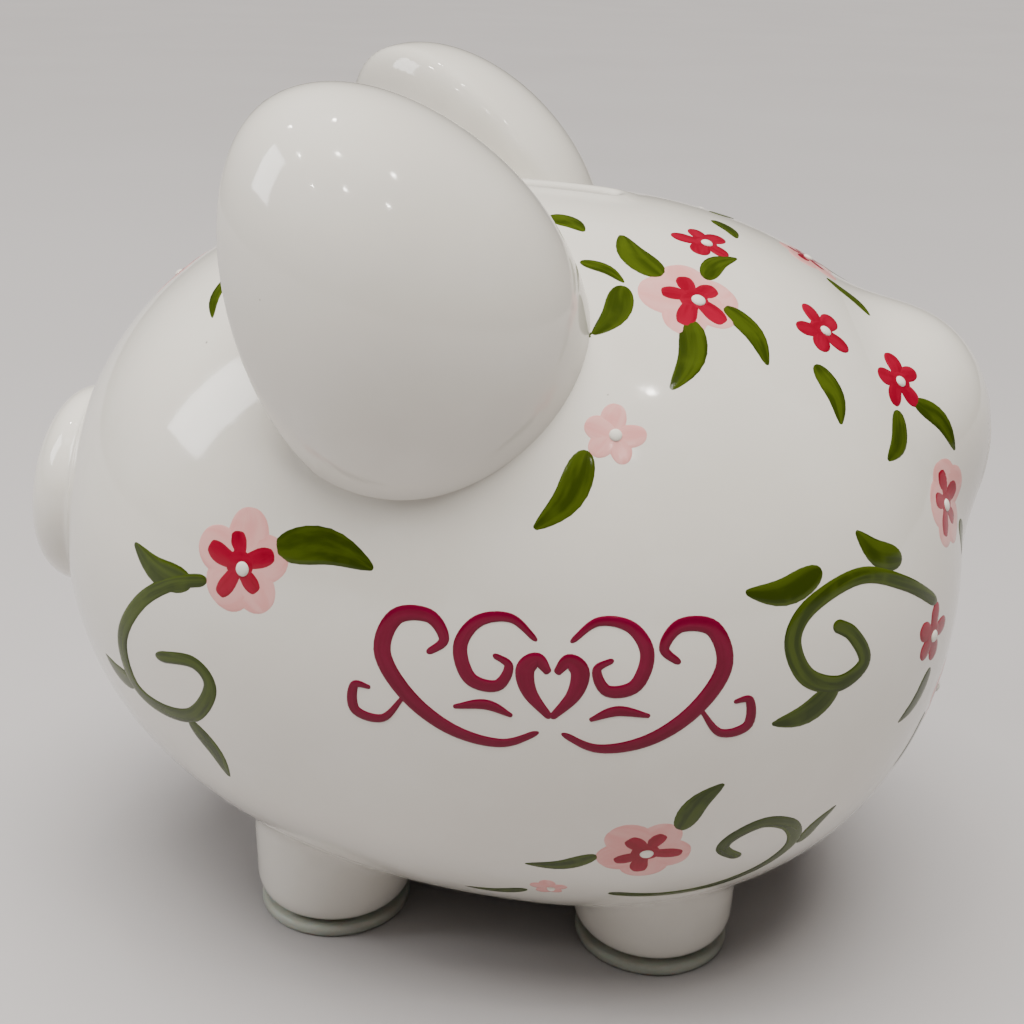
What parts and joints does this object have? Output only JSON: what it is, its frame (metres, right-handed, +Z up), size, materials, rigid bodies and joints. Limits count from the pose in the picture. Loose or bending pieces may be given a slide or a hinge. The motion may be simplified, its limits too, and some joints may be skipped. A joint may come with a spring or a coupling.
{
  "type": "piggy bank",
  "caption": "Glazed ceramic piggy bank with painted flowers, a coin slot on its back, soft foot pads and a pull-out rubber stopper.",
  "frame": {"origin": "on the surface the bank stands on, under the middle of its overall length and width", "axes": "+Z up, -X towards the snout, +Y towards the right ear"},
  "size_m": [0.214, 0.166, 0.1916],
  "materials": {
    "glaze": "gloss",
    "foot_pad": "satin",
    "stopper": "matte",
    "crimson_enamel": "gloss",
    "pink_enamel": "gloss",
    "green_enamel": "gloss",
    "raspberry_enamel": "gloss",
    "white_enamel": "gloss"
  },
  "bodies": {
    "bank": {"body_shell": "glaze", "left_ear": "glaze", "right_ear": "glaze", "snout": "glaze", "tail": "glaze", "front_left_leg": "glaze", "front_right_leg": "glaze", "rear_left_leg": "glaze", "rear_right_leg": "glaze", "front_left_pad": "foot_pad", "front_right_pad": "foot_pad", "rear_left_pad": "foot_pad", "rear_right_pad": "foot_pad"},
    "stopper": {"stopper": "stopper"}
  },
  "joints": [
    {"name": "stopper_pull", "type": "slide", "parent": "bank", "child": "stopper", "axis": [0, 0, -1], "range_m": [0, 0.015]}
  ]
}
